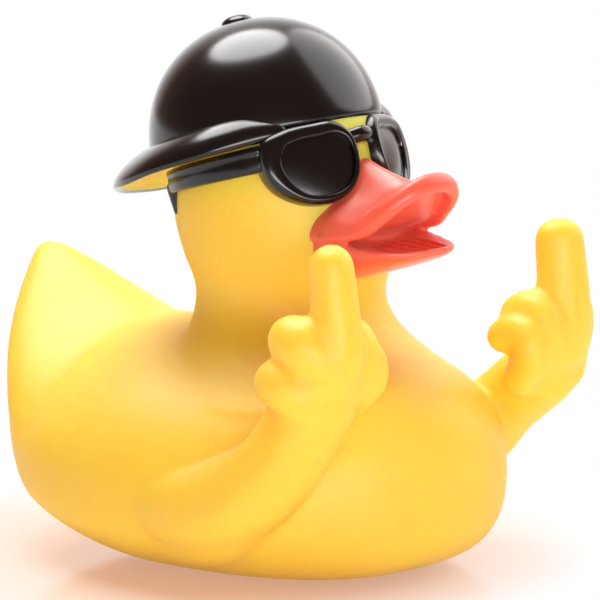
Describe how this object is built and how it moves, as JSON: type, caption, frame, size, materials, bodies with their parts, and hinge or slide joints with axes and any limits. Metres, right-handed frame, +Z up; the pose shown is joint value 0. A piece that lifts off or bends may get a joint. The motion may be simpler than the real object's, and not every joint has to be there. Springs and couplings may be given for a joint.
{
  "type": "rubber duck",
  "caption": "Hollow moulded bath duck with a back-to-front cap, sunglasses, an open bill and raised hands, standing on a flat base.",
  "frame": {"origin": "middle of the duck's box, on the floor under its flat base", "axes": "+Z up, the duck faces -Y, and +X is the duck's own left"},
  "size_m": [0.0728, 0.0962, 0.0864],
  "materials": {
    "yellow_vinyl": "smooth satin moulded vinyl",
    "black_paint": "glossy black toy paint on the cap and sunglasses",
    "red_paint": "satin coral-red toy paint on the bill"
  },
  "bodies": {
    "root": {"duck": "yellow_vinyl"}
  },
  "joints": []
}
